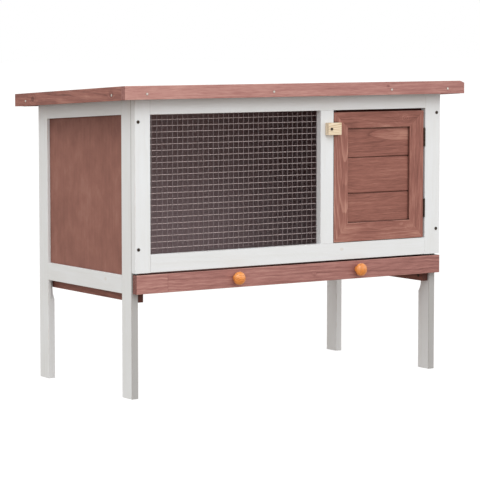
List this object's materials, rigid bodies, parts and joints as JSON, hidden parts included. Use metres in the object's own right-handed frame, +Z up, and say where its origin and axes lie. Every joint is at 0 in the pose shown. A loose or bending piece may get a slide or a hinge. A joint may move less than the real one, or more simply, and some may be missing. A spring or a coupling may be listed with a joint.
{
  "type": "rabbit hutch",
  "caption": "Raised wooden rabbit hutch with sloping roof, wire-mesh front, framed hinged door with turn button, and a pull-out tray.",
  "frame": {"origin": "on the ground below the middle of the roof", "axes": "+X to the right along the front, +Y from the front to the back, +Z up"},
  "size_m": [0.8846, 0.469, 0.651],
  "materials": {
    "white_painted_wood": "matt white paint, grain showing through",
    "stained_wood": "reddish-brown stained pine, matt",
    "stained_plywood": "reddish-brown stained plywood, matt",
    "galvanised_wire": "dull zinc",
    "nail_steel": "bright zinc, slightly dull",
    "dark_steel": "dark, satin",
    "varnished_pine": "clear orange varnish, semi-gloss",
    "bare_pine": "planed, untreated"
  },
  "bodies": {
    "cabinet": {"back_panel": "stained_plywood", "back_panel_nails": "nail_steel", "door_stop": "stained_wood", "frame_dowels": "bare_pine", "front_bottom_rail": "white_painted_wood", "front_fascia": "stained_wood", "front_frame_screws": "dark_steel", "front_left_stile": "white_painted_wood", "front_middle_stile": "white_painted_wood", "front_right_stile": "white_painted_wood", "front_top_rail": "white_painted_wood", "hinge_frame_leaves": "dark_steel", "hinge_frame_screws": "dark_steel", "hinge_pins": "dark_steel", "left_bottom_rail": "white_painted_wood", "left_fascia": "stained_wood", "left_front_post": "white_painted_wood", "left_panel": "stained_plywood", "left_rear_post": "white_painted_wood", "left_runner": "stained_wood", "left_top_rail": "white_painted_wood", "mesh_staples": "galvanised_wire", "rear_bottom_rail": "stained_wood", "rear_fascia": "stained_wood", "rear_top_rail": "stained_wood", "right_bottom_rail": "white_painted_wood", "right_fascia": "stained_wood", "right_front_post": "white_painted_wood", "right_panel": "stained_plywood", "right_rear_post": "white_painted_wood", "right_runner": "stained_wood", "right_top_rail": "white_painted_wood", "roof_battens": "stained_wood", "roof_board_1": "stained_wood", "roof_board_2": "stained_wood", "roof_board_3": "stained_wood", "roof_board_4": "stained_wood", "roof_board_5": "stained_wood", "roof_nails": "nail_steel", "runner_screws": "dark_steel", "turn_button_screw": "dark_steel", "wire_mesh": "galvanised_wire"},
    "door": {"door_board_bottom": "stained_wood", "door_board_middle": "stained_wood", "door_board_top": "stained_wood", "door_bottom_rail": "stained_wood", "door_left_stile": "stained_wood", "door_right_stile": "stained_wood", "door_top_rail": "stained_wood", "hinge_door_leaves": "dark_steel", "hinge_door_screws": "dark_steel"},
    "turn_button": {"turn_button": "bare_pine"},
    "tray": {"tray_front": "stained_wood", "tray_left_side": "stained_wood", "tray_right_side": "stained_wood", "tray_back": "stained_wood", "tray_bottom": "stained_plywood", "left_knob": "varnished_pine", "right_knob": "varnished_pine", "knob_screws": "dark_steel"}
  },
  "joints": [
    {"name": "door_hinge", "type": "hinge", "parent": "cabinet", "child": "door", "pos_m": [0.3549, -0.2022, 0.447], "axis": [0, 0, 1], "range_deg": [0, 180]},
    {"name": "turn_button_pivot", "type": "hinge", "parent": "cabinet", "child": "turn_button", "pos_m": [0.0898, -0.2081, 0.5505], "axis": [0, 1, 0], "continuous": true},
    {"name": "tray_slide", "type": "slide", "parent": "cabinet", "child": "tray", "axis": [0, -1, 0], "range_m": [0, 0.34]}
  ]
}
